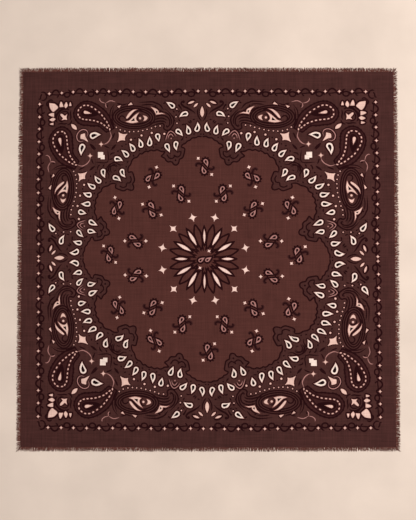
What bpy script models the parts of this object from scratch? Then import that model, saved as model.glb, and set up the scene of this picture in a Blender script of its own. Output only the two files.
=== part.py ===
# A square wool scarf with an eyelash fringe on its four sides, laid out flat.
# Metres, +Z up. The origin is under the middle of the cloth, on the surface it
# lies on; +Y runs to the edge that is at the top when the scarf is looked at.

import math
import random
from collections import namedtuple

import bmesh
import bpy

# The cloth
CLOTH_WIDTH = 0.992          # along X, without the fringe
CLOTH_LENGTH = 1.000         # along Y, without the fringe
WALL = 0.0015                # thickness where the cloth lies flat
GRID_CELLS = 29              # mesh cells along each side
FLAT_BORDER = 0.040          # the swells die away over this width at the edges

# The fringe
FRINGE_LENGTH = 0.012        # from the cloth's edge to the longest tips
SEAM_GAP = 0.0003            # between the cloth's edge and the backing strip
STRIP_WIDTH = 0.0020         # backing strip that the locks grow from
STRIP_HEIGHT = 0.0013
LOCKS_PER_SIDE = 62          # 248 locks round the scarf
LOCK_FILL = 0.80             # share of the pitch that a lock's root takes up
SHORTEST_LOCK = 0.88         # as a share of the longest one
STRAY_LEAN = math.radians(7)
CORNER_LEAN = math.radians(34)
CORNER_LOCKS = 3             # locks at each end that splay towards the corner

Side = namedtuple("Side", "name quarter_turns bow")
Swell = namedtuple("Swell", "x y reach width angle height")
LockRing = namedtuple("LockRing", "reach width low high")

# bow: how far the middle of that edge stands out past its two corners
SIDES = (
    Side("fringe_right", 0, 0.0009),
    Side("fringe_top", 1, 0.0007),
    Side("fringe_left", 2, 0.0009),
    Side("fringe_bottom", 3, 0.0007),
)

# Low swells where the pressed cloth doesn't lie quite flat
SWELLS = (
    Swell(-0.395, 0.360, 0.110, 0.045, 0.75, 0.0010),
    Swell(-0.410, 0.060, 0.180, 0.040, 1.50, 0.0012),
    Swell(-0.370, -0.330, 0.120, 0.050, 2.20, 0.0009),
    Swell(-0.180, 0.415, 0.160, 0.035, 0.08, 0.0011),
    Swell(-0.140, -0.400, 0.150, 0.040, 3.05, 0.0012),
    Swell(-0.090, 0.120, 0.200, 0.070, 0.55, 0.0007),
    Swell(0.110, -0.140, 0.220, 0.065, 0.40, 0.0008),
    Swell(0.210, 0.400, 0.140, 0.045, 3.00, 0.0008),
    Swell(0.250, -0.385, 0.130, 0.040, 0.12, 0.0010),
    Swell(0.385, 0.270, 0.130, 0.045, 2.40, 0.0011),
    Swell(0.405, -0.060, 0.170, 0.040, 1.65, 0.0012),
    Swell(0.370, -0.350, 0.100, 0.050, 0.80, 0.0009),
)

# Sections of a lock, from just past its root to its tip
LOCK_RINGS = (
    LockRing(0.36, 0.95, 0.00035, 0.00120),
    LockRing(1.00, 0.66, 0.00030, 0.00080),
)


def srgb(red, green, blue):
    channels = []
    for value in (red, green, blue):
        share = value / 255
        channels.append(share / 12.92 if share <= 0.04045 else ((share + 0.055) / 1.055) ** 2.4)
    return (*channels, 1.0)


def clear_scene():
    for item in list(bpy.data.objects):
        bpy.data.objects.remove(item, do_unlink=True)


def wool_material(name, colour, roughness):
    material = bpy.data.materials.new(name)
    material.use_nodes = True
    shader = material.node_tree.nodes["Principled BSDF"]
    shader.inputs["Base Color"].default_value = colour
    shader.inputs["Roughness"].default_value = roughness
    shader.inputs["Metallic"].default_value = 0.0
    return material


def finish_object(name, mesh_data, material):
    bmesh.ops.recalc_face_normals(mesh_data, faces=mesh_data.faces)
    mesh = bpy.data.meshes.new(name)
    mesh_data.to_mesh(mesh)
    mesh_data.free()
    mesh.materials.append(material)
    item = bpy.data.objects.new(name, mesh)
    bpy.context.scene.collection.objects.link(item)
    return item


def edge_bow(side, along):
    return side.bow * (1 - along * along)


def cloth_outline_point(u, v):
    # u and v run from -1 to 1 across the cloth
    right, top, left, bottom = SIDES
    x = u * CLOTH_WIDTH / 2
    y = v * CLOTH_LENGTH / 2
    x += max(u, 0) * edge_bow(right, v) - max(-u, 0) * edge_bow(left, v)
    y += max(v, 0) * edge_bow(top, u) - max(-v, 0) * edge_bow(bottom, u)
    return x, y


def border_fade(u, v):
    # 0 at the cloth's edge, 1 inside the flat border
    to_edge = min((1 - abs(u)) * CLOTH_WIDTH / 2, (1 - abs(v)) * CLOTH_LENGTH / 2)
    share = min(to_edge / FLAT_BORDER, 1)
    return share * share * (3 - 2 * share)


def swell_height(x, y):
    total = 0.0
    for swell in SWELLS:
        along = (x - swell.x) * math.cos(swell.angle) + (y - swell.y) * math.sin(swell.angle)
        across = (y - swell.y) * math.cos(swell.angle) - (x - swell.x) * math.sin(swell.angle)
        total += swell.height * math.exp(-((along / swell.reach) ** 2) - (across / swell.width) ** 2)
    return total


def cloth_panel():
    mesh_data = bmesh.new()
    count = GRID_CELLS + 1
    top_rows = []
    under_rows = []
    for row in range(count):
        v = 2 * row / GRID_CELLS - 1
        top_row = []
        under_row = []
        for column in range(count):
            u = 2 * column / GRID_CELLS - 1
            x, y = cloth_outline_point(u, v)
            top = WALL + border_fade(u, v) * swell_height(x, y)
            top_row.append(mesh_data.verts.new((x, y, top)))
            under_row.append(mesh_data.verts.new((x, y, 0)))
        top_rows.append(top_row)
        under_rows.append(under_row)

    for row in range(GRID_CELLS):
        for column in range(GRID_CELLS):
            for rows in (top_rows, under_rows):
                near, far = rows[row], rows[row + 1]
                mesh_data.faces.new((near[column], near[column + 1], far[column + 1], far[column]))

    for step in range(GRID_CELLS):
        for fixed in (0, GRID_CELLS):
            top_pair = top_rows[fixed][step], top_rows[fixed][step + 1]
            under_pair = under_rows[fixed][step], under_rows[fixed][step + 1]
            mesh_data.faces.new((*under_pair, *reversed(top_pair)))
            top_pair = top_rows[step][fixed], top_rows[step + 1][fixed]
            under_pair = under_rows[step][fixed], under_rows[step + 1][fixed]
            mesh_data.faces.new((*under_pair, *reversed(top_pair)))

    material = wool_material("brown_wool", srgb(74, 44, 41), 0.85)
    return finish_object("cloth_panel", mesh_data, material)


def lock_lean(number, side_random):
    # Locks near a corner splay out to it, the others only stray a little
    from_start = number
    from_end = LOCKS_PER_SIDE - 1 - number
    stray = side_random.uniform(-STRAY_LEAN, STRAY_LEAN)
    if from_end < CORNER_LOCKS:
        return CORNER_LEAN * (1 - from_end / CORNER_LOCKS)
    if from_start < CORNER_LOCKS:
        return -CORNER_LEAN * (1 - from_start / CORNER_LOCKS)
    return stray


def fringe(side):
    # Built for the right side, out along +X, then turned onto its own side
    turned = side.quarter_turns % 2 == 1
    half_out = (CLOTH_LENGTH if turned else CLOTH_WIDTH) / 2
    half_along = (CLOTH_WIDTH if turned else CLOTH_LENGTH) / 2
    turn = side.quarter_turns * math.pi / 2
    side_random = random.Random(7)
    mesh_data = bmesh.new()

    def vertex(out, along, height):
        x = half_out + edge_bow(side, along / half_along) + out
        turned_x = x * math.cos(turn) - along * math.sin(turn)
        turned_y = x * math.sin(turn) + along * math.cos(turn)
        return mesh_data.verts.new((turned_x, turned_y, height))

    def strip_section(along):
        # under inner, top inner, top outer, under outer
        outer = SEAM_GAP + STRIP_WIDTH
        return (
            vertex(SEAM_GAP, along, 0),
            vertex(SEAM_GAP, along, STRIP_HEIGHT),
            vertex(outer, along, STRIP_HEIGHT),
            vertex(outer, along, 0),
        )

    def join(ring, next_ring):
        for corner in range(4):
            other = (corner + 1) % 4
            mesh_data.faces.new((ring[corner], ring[other], next_ring[other], next_ring[corner]))

    def grow_lock(root, middle, width, length, lean):
        ring = root
        for section in LOCK_RINGS:
            out = SEAM_GAP + STRIP_WIDTH + section.reach * length * math.cos(lean)
            centre = middle + section.reach * length * math.sin(lean)
            half = section.width * width / 2
            # the two ends of a section turn with the lock, so it keeps its width
            skew = half * math.sin(lean)
            next_ring = (
                vertex(out + skew, centre - half * math.cos(lean), section.low),
                vertex(out + skew, centre - half * math.cos(lean), section.high),
                vertex(out - skew, centre + half * math.cos(lean), section.high),
                vertex(out - skew, centre + half * math.cos(lean), section.low),
            )
            join(ring, next_ring)
            ring = next_ring
        mesh_data.faces.new(ring)

    pitch = 2 * half_along / LOCKS_PER_SIDE
    longest = FRINGE_LENGTH - SEAM_GAP - STRIP_WIDTH
    section = strip_section(-half_along)
    mesh_data.faces.new(section)
    for number in range(LOCKS_PER_SIDE):
        middle = -half_along + (number + 0.5) * pitch
        width = pitch * LOCK_FILL
        length = longest * side_random.uniform(SHORTEST_LOCK, 1)
        lean = lock_lean(number, side_random)

        # plain strip up to the lock's root
        root_start = strip_section(middle - width / 2)
        join(section, root_start)

        # strip behind the root, whose outer face is the lock itself
        root_end = strip_section(middle + width / 2)
        for corner in (0, 1, 3):
            other = (corner + 1) % 4
            mesh_data.faces.new((root_start[corner], root_start[other], root_end[other], root_end[corner]))
        root = (root_start[3], root_start[2], root_end[2], root_end[3])
        grow_lock(root, middle, width, length, lean)
        section = root_end
    last = strip_section(half_along)
    join(section, last)
    mesh_data.faces.new(last)

    material = wool_material(side.name + "_wool", srgb(92, 63, 60), 0.9)
    return finish_object(side.name, mesh_data, material)


clear_scene()
cloth_panel()
for one_side in SIDES:
    fringe(one_side)
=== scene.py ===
import math
import random
from collections import namedtuple

import bpy
import numpy as np
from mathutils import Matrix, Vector
from mathutils.geometry import delaunay_2d_cdt


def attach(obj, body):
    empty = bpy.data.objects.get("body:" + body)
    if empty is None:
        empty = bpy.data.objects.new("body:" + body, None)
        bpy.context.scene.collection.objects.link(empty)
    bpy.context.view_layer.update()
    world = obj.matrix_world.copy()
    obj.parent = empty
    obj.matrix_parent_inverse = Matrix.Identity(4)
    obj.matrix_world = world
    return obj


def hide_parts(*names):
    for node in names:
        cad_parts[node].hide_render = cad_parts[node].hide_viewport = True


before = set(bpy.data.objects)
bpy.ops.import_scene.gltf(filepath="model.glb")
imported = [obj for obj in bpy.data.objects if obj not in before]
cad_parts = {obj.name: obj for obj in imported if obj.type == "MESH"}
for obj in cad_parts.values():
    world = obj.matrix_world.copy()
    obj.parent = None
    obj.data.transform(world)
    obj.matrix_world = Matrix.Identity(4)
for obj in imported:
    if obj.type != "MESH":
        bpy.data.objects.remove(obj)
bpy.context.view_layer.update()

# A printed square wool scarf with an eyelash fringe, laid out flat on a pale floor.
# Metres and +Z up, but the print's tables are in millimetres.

mm = 0.001
sharp = True   # third value of a table point where the outline has a corner


# Colours and shader nodes

def srgb(red, green, blue):
    channels = []
    for value in (red, green, blue):
        share = value / 255
        channels.append(share / 12.92 if share <= 0.04045 else ((share + 0.055) / 1.055) ** 2.4)
    return (*channels, 1.0)


def addNode(tree, kind, **settings):
    node = tree.nodes.new(kind)
    for name, value in settings.items():
        if name in node.inputs:
            node.inputs[name].default_value = value
        else:
            setattr(node, name, value)
    return node


def stretchedNoise(tree, place, stretch, scale, detail):
    # noise in the cloth's own metres, drawn out along the axes that stretch makes small
    drawn = addNode(tree, "ShaderNodeVectorMath", operation="MULTIPLY")
    drawn.inputs[1].default_value = stretch
    tree.links.new(place, drawn.inputs[0])
    noise = addNode(tree, "ShaderNodeTexNoise", Scale=scale, Detail=detail)
    tree.links.new(drawn.outputs[0], noise.inputs["Vector"])
    return noise.outputs["Fac"]


def mathNode(tree, operation, first, second):
    node = addNode(tree, "ShaderNodeMath", operation=operation)
    for socket, value in zip(node.inputs, (first, second)):
        if isinstance(value, (int, float)):
            socket.default_value = value
        else:
            tree.links.new(value, socket)
    return node.outputs[0]


def newGroup(name, inputs, outputs):
    group = bpy.data.node_groups.new(name, "ShaderNodeTree")
    for socketName, kind, value in inputs:
        socket = group.interface.new_socket(socketName, in_out="INPUT", socket_type=kind)
        socket.default_value = value
    for socketName, kind in outputs:
        group.interface.new_socket(socketName, in_out="OUTPUT", socket_type=kind)
    return group, addNode(group, "NodeGroupInput"), addNode(group, "NodeGroupOutput")


# Plain-woven wool: yarns both ways, slubs that run along them, heather, soft mottling, and painted shade in
# the colour between the yarns
weaveLook = dict(
    yarnsPerMetre=1150,
    slubs=((6, 900, 1), (900, 6, 1), (14, 260, 1), (260, 14, 1)),   # fine ones each way, then coarse
    mottleScale=26.0,
    ridgeMean=0.4,        # taken off the ridges, so that they hardly change the mean colour
    roughness=0.96,
    ridgePolish=0.10,     # the tops of the yarns are smoother by this much
    slubHeight=1.5,       # how far the slubs stand up, against the yarns
)


def woolWeaveGroup():
    group, given, result = newGroup(
        "woolWeave",
        [
            ("Colour", "NodeSocketColor", (0.1, 0.1, 0.1, 1)),
            ("Streaks", "NodeSocketFloat", 0.2),
            ("Mottle", "NodeSocketFloat", 0.15),
            # how strongly shade is painted into the colour between the yarns
            ("Painted Yarn Shade", "NodeSocketFloat", 0.3),
        ],
        [("Colour", "NodeSocketColor"), ("Roughness", "NodeSocketFloat"), ("Height", "NodeSocketFloat")],
    )

    def maths(operation, first, second=0):
        return mathNode(group, operation, first, second)

    place = addNode(group, "ShaderNodeTexCoord").outputs["Object"]
    slubs = [stretchedNoise(group, place, stretch, 1.0, 2) for stretch in weaveLook["slubs"]]
    finer = maths("ADD", slubs[0], slubs[1])
    coarser = maths("ADD", slubs[2], slubs[3])
    # four noises of mean 0.5 each, brought to a mean of zero
    streaks = maths("SUBTRACT", maths("ADD", finer, coarser), 2.0)
    streaks = maths("MULTIPLY", streaks, given.outputs["Streaks"])
    mottle = stretchedNoise(group, place, (1, 1, 1), weaveLook["mottleScale"], 4)
    mottle = maths("MULTIPLY", maths("SUBTRACT", mottle, 0.5), given.outputs["Mottle"])

    # yarns as two crossed rows of ridges; the colour gets painted shade between them and painted light on
    # their tops
    apart = addNode(group, "ShaderNodeSeparateXYZ")
    group.links.new(place, apart.inputs[0])
    pace = weaveLook["yarnsPerMetre"] * math.pi
    across = maths("SINE", maths("MULTIPLY", apart.outputs["X"], pace))
    along = maths("SINE", maths("MULTIPLY", apart.outputs["Y"], pace))
    ridges = maths("ABSOLUTE", maths("MULTIPLY", across, along))
    yarnLitAndShaded = maths("SUBTRACT", ridges, weaveLook["ridgeMean"])
    weave = maths("MULTIPLY", yarnLitAndShaded, given.outputs["Painted Yarn Shade"])

    shade = maths("ADD", maths("ADD", streaks, mottle), maths("ADD", weave, 1.0))
    tint = addNode(group, "ShaderNodeVectorMath", operation="SCALE")
    group.links.new(given.outputs["Colour"], tint.inputs[0])
    group.links.new(shade, tint.inputs["Scale"])
    polish = maths("MULTIPLY", ridges, weaveLook["ridgePolish"])
    raised = maths("MULTIPLY", streaks, weaveLook["slubHeight"])
    group.links.new(tint.outputs[0], result.inputs["Colour"])
    group.links.new(maths("SUBTRACT", weaveLook["roughness"], polish), result.inputs["Roughness"])
    group.links.new(maths("ADD", ridges, raised), result.inputs["Height"])
    return group


woolWeave = woolWeaveGroup()
woolFinish = dict(bumpStrength=0.35, bumpDepth=0.0002, specular=0.06, sheenRoughness=0.5)


def woolMaterial(name, look):
    # look holds the colour, streaks, mottle, paintedYarnShade (painted shade between the yarns) and sheen
    material = bpy.data.materials.new(name)
    material.use_nodes = True
    tree = material.node_tree
    shader = tree.nodes["Principled BSDF"]
    colour = srgb(*look["colour"])
    weave = addNode(tree, "ShaderNodeGroup", node_tree=woolWeave)
    weave.inputs["Colour"].default_value = colour
    weave.inputs["Streaks"].default_value = look["streaks"]
    weave.inputs["Mottle"].default_value = look["mottle"]
    weave.inputs["Painted Yarn Shade"].default_value = look["paintedYarnShade"]
    bump = addNode(
        tree, "ShaderNodeBump", Strength=woolFinish["bumpStrength"], Distance=woolFinish["bumpDepth"]
    )
    tree.links.new(weave.outputs["Colour"], shader.inputs["Base Color"])
    tree.links.new(weave.outputs["Roughness"], shader.inputs["Roughness"])
    tree.links.new(weave.outputs["Height"], bump.inputs["Height"])
    tree.links.new(bump.outputs["Normal"], shader.inputs["Normal"])
    shader.inputs["Specular IOR Level"].default_value = woolFinish["specular"]
    shader.inputs["Sheen Weight"].default_value = look["sheen"]
    shader.inputs["Sheen Roughness"].default_value = woolFinish["sheenRoughness"]
    shader.inputs["Sheen Tint"].default_value = colour
    return material


def meshObject(name, points, faces, material):
    mesh = bpy.data.meshes.new(name)
    mesh.from_pydata(points, [], faces)
    mesh.materials.append(material)
    mesh.update()
    item = bpy.data.objects.new(name, mesh)
    bpy.context.scene.collection.objects.link(item)
    return item


# The form of the cloth. Its sizes, bows and swells are those of the solids.

cloth = dict(
    width=0.992,          # along X, without the fringe
    length=1.000,         # along Y, without the fringe
    top=0.0015,           # height of the print side where the cloth lies flat
    shell=0.0010,         # thickness of the shell
    rimTop=0.0010,        # height of the print side at the very edge
    rimUnder=0.00015,
    rimReach=0.004,       # the edge thins over this width
    flatBorder=0.040,     # the swells die away over this width
    cells=160,            # mesh cells along each side
    wander=0.0004,        # how far the woven edge strays from its line
    colour=(70, 42, 41),
    streaks=0.60,
    mottle=0.50,
    # how much shade is painted into the colour between the yarns
    paintedYarnShade=0.35,
    sheen=0.05,
)

edgeBow = dict(right=0.0009, top=0.0007, left=0.0009, bottom=0.0007)
edgeStart = dict(right=0.3, top=1.7, left=3.1, bottom=4.9)   # where the waves of each side start
# two waves, in radians a metre: the quick one is a share of the slow one, and size scales both
edgeWave = dict(slow=61, quick=143, quickStart=2.3, quickShare=0.6, size=0.6)

# swells and creases: a long soft ridge, or a trough where its height is below zero
Ridge = namedtuple("Ridge", "x y reach width angle height")

swells = (
    Ridge(-0.395, 0.360, 0.110, 0.045, 0.75, 0.0010),
    Ridge(-0.410, 0.060, 0.180, 0.040, 1.50, 0.0012),
    Ridge(-0.370, -0.330, 0.120, 0.050, 2.20, 0.0009),
    Ridge(-0.180, 0.415, 0.160, 0.035, 0.08, 0.0011),
    Ridge(-0.140, -0.400, 0.150, 0.040, 3.05, 0.0012),
    Ridge(-0.090, 0.120, 0.200, 0.070, 0.55, 0.0007),
    Ridge(0.110, -0.140, 0.220, 0.065, 0.40, 0.0008),
    Ridge(0.210, 0.400, 0.140, 0.045, 3.00, 0.0008),
    Ridge(0.250, -0.385, 0.130, 0.040, 0.12, 0.0010),
    Ridge(0.385, 0.270, 0.130, 0.045, 2.40, 0.0011),
    Ridge(0.405, -0.060, 0.170, 0.040, 1.65, 0.0012),
    Ridge(0.370, -0.350, 0.100, 0.050, 0.80, 0.0009),
)

creases = (
    Ridge(-0.330, 0.250, 0.090, 0.014, 0.95, 0.0003),
    Ridge(-0.280, 0.020, 0.140, 0.018, 1.42, -0.0003),
    Ridge(-0.420, -0.180, 0.070, 0.012, 1.75, -0.0002),
    Ridge(-0.210, -0.240, 0.110, 0.016, 2.35, 0.0003),
    Ridge(-0.050, 0.330, 0.120, 0.015, 0.22, -0.0003),
    Ridge(0.020, -0.020, 0.170, 0.020, 0.70, 0.0002),
    Ridge(0.130, 0.210, 0.080, 0.013, 2.75, 0.0003),
    Ridge(0.180, -0.280, 0.150, 0.018, 0.28, -0.0003),
    Ridge(0.310, 0.100, 0.100, 0.014, 1.85, -0.0003),
    Ridge(0.300, -0.170, 0.060, 0.012, 1.20, 0.0003),
    Ridge(0.430, 0.380, 0.050, 0.012, 2.30, -0.0002),
    Ridge(0.060, -0.440, 0.090, 0.012, 3.05, -0.0002),
)


def ridgeHeight(ridges, x, y):
    total = 0.0
    for ridge in ridges:
        turnX, turnY = math.cos(ridge.angle), math.sin(ridge.angle)
        along = ((x - ridge.x) * turnX + (y - ridge.y) * turnY) / ridge.reach
        across = ((y - ridge.y) * turnX - (x - ridge.x) * turnY) / ridge.width
        far = along * along + across * across
        if far < 16:
            total += ridge.height * math.exp(-far)
    return total


def smoothShare(value):
    share = min(max(value, 0), 1)
    return share * share * (3 - 2 * share)


def clothTop(x, y):
    inside = min(cloth["width"] / 2 - abs(x), cloth["length"] / 2 - abs(y))
    fade = smoothShare(inside / cloth["flatBorder"])
    rim = 1 - smoothShare(inside / cloth["rimReach"])
    height = cloth["top"] + fade * (ridgeHeight(swells, x, y) + ridgeHeight(creases, x, y))
    return height - rim * (cloth["top"] - cloth["rimTop"])


def edgeWander(side, along):
    # a slow uneven stray of the woven edge, in metres
    start = edgeStart[side]
    slow = math.sin(along * edgeWave["slow"] + start)
    quick = math.sin(along * edgeWave["quick"] + edgeWave["quickStart"] * start)
    return cloth["wander"] * edgeWave["size"] * (slow + edgeWave["quickShare"] * quick)


def edgeReach(side, share, along):
    # how far the woven edge stands out past its straight line
    return edgeBow[side] * (1 - share * share) + edgeWander(side, along)


def clothPoint(u, v):
    x = u * cloth["width"] / 2
    y = v * cloth["length"] / 2
    outX = max(u, 0) ** 3 * edgeReach("right", v, y) - max(-u, 0) ** 3 * edgeReach("left", v, y)
    outY = max(v, 0) ** 3 * edgeReach("top", u, x) - max(-v, 0) ** 3 * edgeReach("bottom", u, x)
    return x + outX, y + outY


def gridStops(cells):
    # even stops from -1 to 1, with a few more close to each edge
    even = [2 * step / cells - 1 for step in range(1, cells)]
    nearEdge = [1, 0.9985, 0.9965, 0.9945]
    return [-stop for stop in nearEdge] + even + nearEdge[::-1]


def buildCloth():
    stops = gridStops(cloth["cells"])
    count = len(stops)
    tops = []
    unders = []
    for v in stops:
        for u in stops:
            x, y = clothPoint(u, v)
            top = clothTop(x, y)
            inside = min(1 - abs(u), 1 - abs(v)) * cloth["length"] / 2
            rim = 1 - smoothShare(inside / cloth["rimReach"])
            under = (top - cloth["shell"]) * (1 - rim) + cloth["rimUnder"] * rim
            tops.append((x, y, top))
            unders.append((x, y, under))
    shift = len(tops)
    faces = []
    for row in range(count - 1):
        for column in range(count - 1):
            corner = row * count + column
            quad = (corner, corner + 1, corner + 1 + count, corner + count)
            faces.append(quad)
            faces.append(tuple(index + shift for index in reversed(quad)))
    rimLoop = list(range(count))
    rimLoop += [row * count + count - 1 for row in range(1, count)]
    rimLoop += [(count - 1) * count + column for column in range(count - 2, -1, -1)]
    rimLoop += [row * count for row in range(count - 2, 0, -1)]
    for index, corner in enumerate(rimLoop):
        nextCorner = rimLoop[(index + 1) % len(rimLoop)]
        faces.append((corner, corner + shift, nextCorner + shift, nextCorner))
    return meshObject("cloth", tops + unders, faces, woolMaterial("printedWoolGround", cloth))


clothPiece = buildCloth()
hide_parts("cloth_panel")
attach(clothPiece, "root")
print("cloth:", len(clothPiece.data.polygons), "faces")


# The print, in millimetres from the middle of its medallion. The tables hold the wedge from the
# top of the scarf round to its top right corner. Its mirror image fills the other half of that
# quarter, and the four quarters mirror each other.

inks = dict(
    rust=(82, 48, 45),
    dusk=(59, 31, 32),
    plum=(36, 10, 14),
    night=(28, 8, 11),
    mauve=(172, 126, 124),
    blush=(150, 98, 94),
    rose=(208, 163, 157),
    pink=(230, 198, 190),
    petal=(241, 216, 210),
    cream=(243, 229, 223),
)
inkSpread = 1.2   # the dark lines widen this much as they soak into the wool
paleRim = dict(out=0.5, inside=0.5)   # the wool blushes round a pale shape, which shrinks a little
inkFilm = dict(
    lift=0.00010,         # the film's top and underside, above and below the cloth
    sink=0.00005,
    streaks=0.40,
    mottle=0.30,
    # how much shade is painted into the colour between the yarns
    paintedYarnShade=0.30,
    sheen=0.02,
)
# the loose grid that cuts up the wide stretches of ink, so that they follow the swells
looseGrid = dict(cell=8.0, span=920, left=-461.3, bottom=-460.7)
printMiddle = (-11.6, -2.3)   # the medallion's place on the cloth

# the plates, in the order they are printed, and the ink of each
plates = dict(
    ground="rust",
    shade="dusk",
    chain="plum",
    wreath="plum",
    wreathSides="plum",
    field="plum",
    mauve="mauve",
    rims="blush",
    dots="rose",
    pink="pink",
    petals="petal",
    cream="cream",
    hole="night",
)
sidePlates = dict(wreath="wreathSides")   # the mirror image of the fullest plate has its own
printed = {plate: {"half": [], "quarter": [], "whole": []} for plate in plates}


def paint(plate, loop, copies="half"):
    if plate in ("pink", "petals", "cream"):
        printed["rims"][copies].append(grown(loop, paleRim["out"]))
        loop = grown(loop, -paleRim["inside"])
    printed[plate][copies].append(loop)


def throughPoints(points, closed=False, steps=5):
    # a smooth line through the points, as a Catmull-Rom spline
    count = len(points)
    line = []
    spans = count if closed else count - 1
    for span in range(spans):
        p1, p2 = points[span], points[(span + 1) % count]
        if closed:
            p0, p3 = points[span - 1], points[(span + 2) % count]
        else:
            p0 = points[span - 1] if span else (2 * p1[0] - p2[0], 2 * p1[1] - p2[1])
            p3 = points[span + 2] if span + 2 < count else (2 * p2[0] - p1[0], 2 * p2[1] - p1[1])
        for step in range(steps):
            t = step / steps
            place = []
            for axis in (0, 1):
                a, b, c, d = p0[axis], p1[axis], p2[axis], p3[axis]
                place.append(
                    b + 0.5 * t * (c - a + t * (2 * a - 5 * b + 4 * c - d + t * (3 * (b - c) + d - a)))
                )
            line.append(tuple(place))
    if not closed:
        line.append(tuple(points[-1][:2]))
    return line


def outline(points, steps=4):
    # a closed shape, smooth but for the points marked sharp
    corners = [index for index, point in enumerate(points) if len(point) > 2]
    if not corners:
        return throughPoints(points, closed=True, steps=steps)
    loop = []
    for index, start in enumerate(corners):
        end = corners[(index + 1) % len(corners)]
        if end <= start:
            end += len(points)
        stretch = [points[number % len(points)][:2] for number in range(start, end + 1)]
        loop += throughPoints(stretch, steps=steps)[:-1]
    return loop


def ribbon(line, halfWidths):
    # the outline of a line that is halfWidths wide to each side
    left, right = [], []
    for index, (x, y) in enumerate(line):
        before = line[max(index - 1, 0)]
        after = line[min(index + 1, len(line) - 1)]
        runX, runY = after[0] - before[0], after[1] - before[1]
        length = math.hypot(runX, runY) or 1
        half = halfWidths[index]
        left.append((x - runY / length * half, y + runX / length * half))
        right.append((x + runY / length * half, y - runX / length * half))
    return left + right[::-1]


def stroke(points, width, taper=0.25, steps=3):
    # a drawn line, thinning towards both ends over the taper's share of it
    line = throughPoints(points, steps=steps)
    halves = []
    for index in range(len(line)):
        share = index / (len(line) - 1)
        toEnd = min(share, 1 - share) / max(taper, 0.001)
        halves.append(width / 2 * max(min(toEnd, 1) ** 0.6, 0.15))
    return ribbon(line, halves)


def drawLines(plate, rows, copies="half", taper=0.25):
    # rows of a width and the points of its line
    spread = inkSpread if plates[plate] == "plum" else 1
    for width, points in rows:
        paint(plate, stroke(points, width * spread, taper), copies)


def drawRing(plate, points, width, copies="half", steps=3):
    # a dark closed line, as two halves that overlap a little
    line = throughPoints(points, closed=True, steps=steps)
    half = len(line) // 2
    for part in (line[: half + 2], line[half:] + line[:2]):
        paint(plate, ribbon(part, [width / 2 * inkSpread] * len(part)), copies)


def drawBlobs(plate, rows, copies="half"):
    for x, y, radius in rows:
        paint(plate, oval(x, y, radius, radius, sides=9), copies)


def paintHaloed(plate, loop, halo, copies="half"):
    # a pale shape with a dark halo round it
    paint("wreath", grown(loop, halo), copies)
    paint(plate, loop, copies)


def oval(x, y, halfLong, halfShort, angle=0.0, sides=14):
    loop = []
    for side in range(sides):
        turn = 2 * math.pi * side / sides
        along, across = halfLong * math.cos(turn), halfShort * math.sin(turn)
        loop.append((
            x + along * math.cos(angle) - across * math.sin(angle),
            y + along * math.sin(angle) + across * math.cos(angle),
        ))
    return loop


def drop(x, y, tipX, tipY, radius, bow=0.0, steps=12):
    # round at (x, y) and drawn out to the tip; bow bends it to the left of that direction
    reach = math.hypot(tipX - x, tipY - y)
    dirX, dirY = (tipX - x) / reach, (tipY - y) / reach
    stations = []
    for step in range(steps):
        turn = math.pi - math.pi / 2 * step / steps
        stations.append((radius * math.cos(turn), radius * math.sin(turn)))
    for step in range(steps):
        share = step / steps
        stations.append((reach * share, radius * math.cos(math.pi / 2 * share) ** 1.35))
    profile = stations + [(reach, 0.0)] + [(along, -half) for along, half in reversed(stations[1:])]
    loop = []
    for along, across in profile:
        share = max(along / reach, 0)
        across += bow * 4 * share * (1 - share)
        loop.append((x + along * dirX - across * dirY, y + along * dirY + across * dirX))
    return loop


def lens(x, y, endX, endY, width, bow=0.0, steps=9, thin=0.8):
    # pointed at both ends; a higher thin draws the points out
    dirX, dirY = endX - x, endY - y
    length = math.hypot(dirX, dirY)
    dirX, dirY = dirX / length, dirY / length
    halves = [width / 2 * abs(math.sin(math.pi * step / steps)) ** thin for step in range(steps + 1)]
    upper = list(enumerate(halves))
    lower = [(step, -half) for step, half in reversed(upper[1:-1])]
    loop = []
    for step, across in upper + lower:
        share = step / steps
        across += bow * 4 * share * (1 - share)
        along = length * share
        loop.append((x + along * dirX - across * dirY, y + along * dirY + across * dirX))
    return loop


def starLoop(x, y, spikes, pinch, steps=4):
    # straight spikes with hollow sides between them
    loop = []
    for index, start in enumerate(spikes):
        end = spikes[(index + 1) % len(spikes)]
        midX, midY = (start[0] + end[0]) / 2, (start[1] + end[1]) / 2
        bendX, bendY = x + (midX - x) * pinch, y + (midY - y) * pinch
        for step in range(steps):
            t = step / steps
            loop.append((
                start[0] * (1 - t) ** 2 + 2 * bendX * t * (1 - t) + end[0] * t * t,
                start[1] * (1 - t) ** 2 + 2 * bendY * t * (1 - t) + end[1] * t * t,
            ))
    return loop


def star(x, y, reach, turn=0.0, pinch=0.35):
    angles = [turn + math.pi / 2 * arm for arm in range(4)]
    spikes = [(x + reach * math.cos(angle), y + reach * math.sin(angle)) for angle in angles]
    return starLoop(x, y, spikes, pinch)


def counterClockwise(loop):
    area = sum(a[0] * b[1] - b[0] * a[1] for a, b in zip(loop, loop[1:] + loop[:1]))
    return loop if area > 0 else loop[::-1]


def grown(loop, margin):
    # the same closed shape, moved out by margin on all sides
    loop = counterClockwise(list(loop))
    result = []
    for index, (x, y) in enumerate(loop):
        before, after = loop[index - 1], loop[(index + 1) % len(loop)]
        runX, runY = after[0] - before[0], after[1] - before[1]
        length = math.hypot(runX, runY) or 1
        result.append((x + runY / length * margin, y - runX / length * margin))
    return result


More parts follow.
